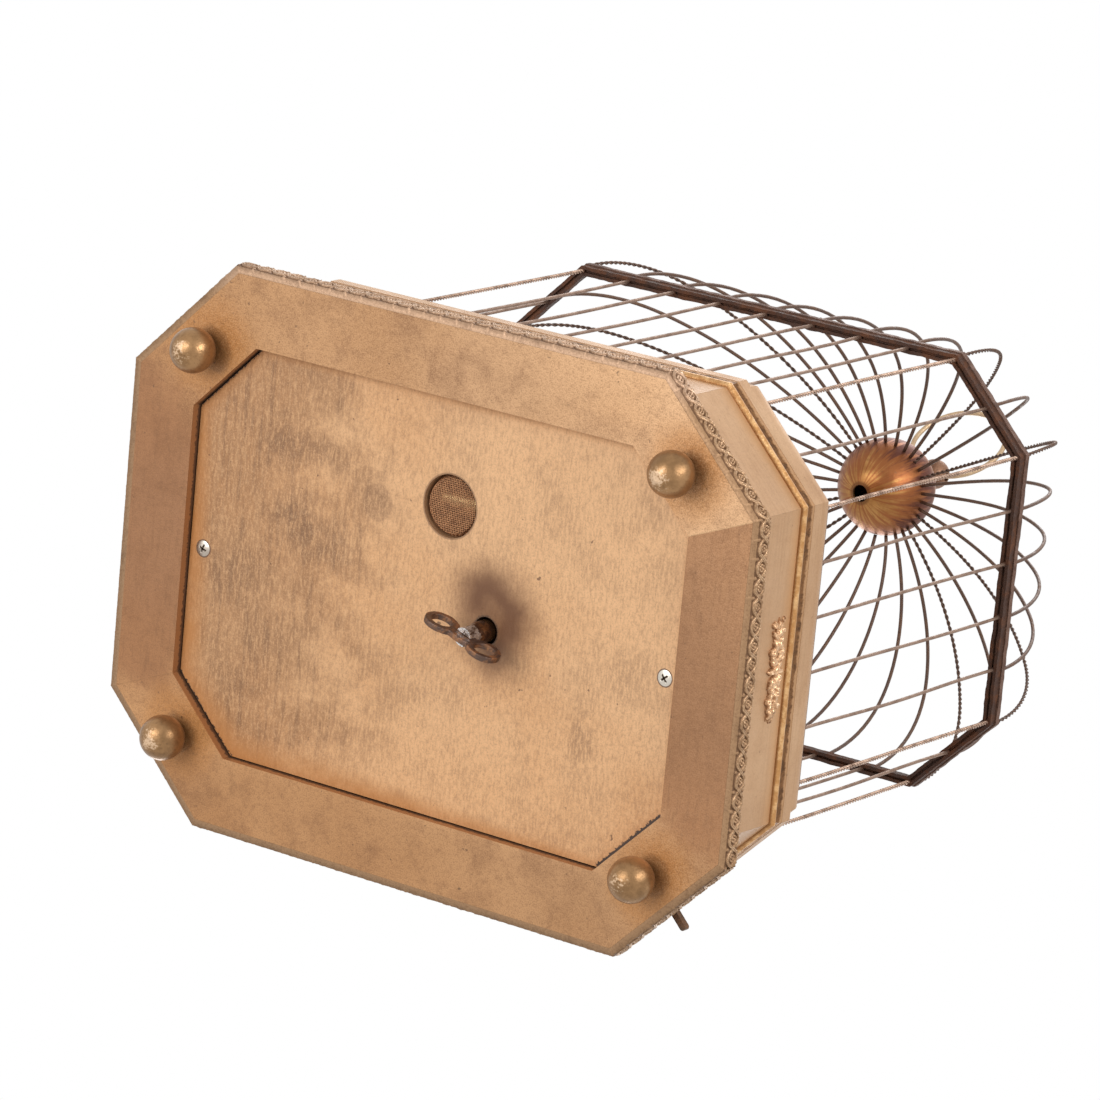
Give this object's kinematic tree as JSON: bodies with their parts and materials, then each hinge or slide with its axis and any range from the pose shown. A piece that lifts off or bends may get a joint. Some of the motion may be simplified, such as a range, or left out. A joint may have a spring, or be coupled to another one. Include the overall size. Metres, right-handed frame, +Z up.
{
  "type": "singing bird cage",
  "caption": "Key-wound singing-bird cage: gilt wooden box base on ball feet, domed wire cage with a ball and a carrying ring, bird on a perch.",
  "frame": {"origin": "on the floor, under the middle of the base", "axes": "+Z up, X along the long side of the base, Y along the short side; the winding key and the stop lever are on the +X half"},
  "size_m": [0.3384, 0.2584, 0.4712],
  "materials": {
    "bronze_gold_paint": "bronze-gold paint on wood, dull",
    "bright_gilt": "worn bright gilding on wood",
    "plywood_cover": "thin gold wash over plywood",
    "raw_wood": "plain sawn wood",
    "zinc_screw": "zinc plated, dull",
    "brown_mesh": "lacquered woven wire",
    "wire_brass": "brown patina over gilt brass",
    "band_brass": "dark brown patina",
    "ball_gilt": "worn copper-gold gilding",
    "finial_brass": "pale gold",
    "key_iron": "rusty brown",
    "steel": "worn bright steel",
    "dark_iron": "blackened",
    "brass": "plain, satin",
    "leather": "thin pale kid",
    "feathers_body": "short feathers over a carved body",
    "feathers_tail": "long stiff feathers",
    "horn": "dark horn"
  },
  "bodies": {
    "case": {"ball_feet": "bronze_gold_paint", "bottom_frame": "bronze_gold_paint", "guilloche_moulding": "bright_gilt", "case_walls": "bronze_gold_paint", "gilt_fillet": "bright_gilt", "plinth_band": "bronze_gold_paint", "deck_board": "bronze_gold_paint", "frieze_ornaments": "bright_gilt", "bottom_cover": "plywood_cover", "cover_cleats": "raw_wood", "cover_screws": "zinc_screw", "sound_mesh": "brown_mesh", "cage_sill": "wire_brass", "long_side_wires": "wire_brass", "short_side_wires": "wire_brass", "chamfer_wires": "wire_brass", "corner_wires": "wire_brass", "shoulder_band": "band_brass", "dome_hoop": "band_brass", "dome_long_side_wires": "wire_brass", "dome_short_side_wires": "wire_brass", "dome_chamfer_wires": "wire_brass", "dome_corner_wires": "wire_brass", "crown_ball": "ball_gilt", "finial": "finial_brass", "click_spring": "steel", "bottom_plate": "brass", "top_plate": "brass", "movement_pillars": "brass", "whistle_tube": "brass", "wind_chest": "raw_wood", "chest_posts": "raw_wood", "bellows_leather": "leather", "lever_post": "raw_wood", "perch": "brass", "bird_body": "feathers_body", "bird_legs": "dark_iron"},
    "winding": {"winding_arbor": "steel", "ratchet_wheel": "steel", "key_hub": "steel", "key_bow": "key_iron"},
    "barrel": {"spring_barrel": "brass", "mainspring": "steel"},
    "second_arbor": {"second_wheel": "brass"},
    "third_arbor": {"third_wheel": "brass", "bird_cams": "brass"},
    "fly": {"fly_governor": "brass"},
    "click": {"click": "steel"},
    "bellows": {"bellows_board": "raw_wood"},
    "piston": {"whistle_piston": "brass"},
    "lever": {"stop_lever": "dark_iron"},
    "ring": {"carrying_ring": "finial_brass"},
    "head": {"bird_head": "feathers_body"},
    "beak": {"bird_beak": "horn"},
    "tail": {"bird_tail": "feathers_tail"},
    "head_rod": {"head_rod": "steel"},
    "beak_rod": {"beak_rod": "steel"},
    "tail_rod": {"tail_rod": "steel"}
  },
  "joints": [
    {"name": "winding_turn", "type": "hinge", "parent": "case", "child": "winding", "pos_m": [0.0311, 0.0045, 0.038], "axis": [0, 0, 1], "continuous": true},
    {"name": "barrel_turn", "type": "hinge", "parent": "case", "child": "barrel", "pos_m": [0.0311, 0.0045, 0.054], "axis": [0, 0, 1], "continuous": true},
    {"name": "second_turn", "type": "hinge", "parent": "case", "child": "second_arbor", "pos_m": [-0.0009, 0.0045, 0.06], "axis": [0, 0, 1], "continuous": true},
    {"name": "third_turn", "type": "hinge", "parent": "case", "child": "third_arbor", "pos_m": [-0.0265, 0.0045, 0.06], "axis": [0, 0, 1], "continuous": true},
    {"name": "fly_turn", "type": "hinge", "parent": "case", "child": "fly", "pos_m": [-0.0377, 0.0239, 0.06], "axis": [0, 0, 1], "continuous": true},
    {"name": "click_turn", "type": "hinge", "parent": "case", "child": "click", "pos_m": [0.0475, 0.0095, 0.068], "axis": [0, 0, 1], "range_deg": [0, 10], "stiffness_Nm_per_rad": 0.001},
    {"name": "bellows_lift", "type": "slide", "parent": "case", "child": "bellows", "axis": [0, 0, 1], "range_m": [-0.006, 0], "stiffness_N_per_m": 200, "deforming": ["bellows_leather"]},
    {"name": "piston_slide", "type": "slide", "parent": "case", "child": "piston", "axis": [1, 0, 0], "range_m": [0, 0.01], "stiffness_N_per_m": 20},
    {"name": "lever_turn", "type": "hinge", "parent": "case", "child": "lever", "pos_m": [0.09485, 0.06475, 0.035], "axis": [0, 0, -1], "range_deg": [0, 17]},
    {"name": "ring_swing", "type": "hinge", "parent": "case", "child": "ring", "pos_m": [0, 0, 0.43095], "axis": [1, 0, 0], "range_deg": [-172, 108]},
    {"name": "head_turn", "type": "hinge", "parent": "case", "child": "head", "pos_m": [0.022, 0, 0.22267], "axis": [0, 0, 1], "range_deg": [-35, 35]},
    {"name": "beak_open", "type": "hinge", "parent": "head", "child": "beak", "pos_m": [0.0316, 0, 0.22237], "axis": [0, 1, 0], "range_deg": [0, 15]},
    {"name": "tail_lift", "type": "hinge", "parent": "case", "child": "tail", "pos_m": [-0.01879, 0, 0.18799], "axis": [0, 1, 0], "range_deg": [-8, 8]},
    {"name": "head_rod_lift", "type": "slide", "parent": "case", "child": "head_rod", "axis": [0, 0, 1], "range_m": [-0.0018, 0.0018], "stiffness_N_per_m": 200},
    {"name": "beak_rod_lift", "type": "slide", "parent": "case", "child": "beak_rod", "axis": [0, 0, 1], "range_m": [0, 0.0015], "stiffness_N_per_m": 20},
    {"name": "tail_rod_lift", "type": "slide", "parent": "case", "child": "tail_rod", "axis": [0, 0, 1], "range_m": [-0.00125, 0.00125], "stiffness_N_per_m": 400}
  ],
  "couplings": [
    {"joint": "second_turn", "follows": "barrel_turn", "ratio": -4},
    {"joint": "third_turn", "follows": "barrel_turn", "ratio": 12},
    {"joint": "fly_turn", "follows": "barrel_turn", "ratio": -36},
    {"joint": "head_turn", "follows": "head_rod_lift", "rad_per_m": 333},
    {"joint": "beak_open", "follows": "beak_rod_lift", "rad_per_m": 170},
    {"joint": "tail_lift", "follows": "tail_rod_lift", "rad_per_m": 111}
  ]
}
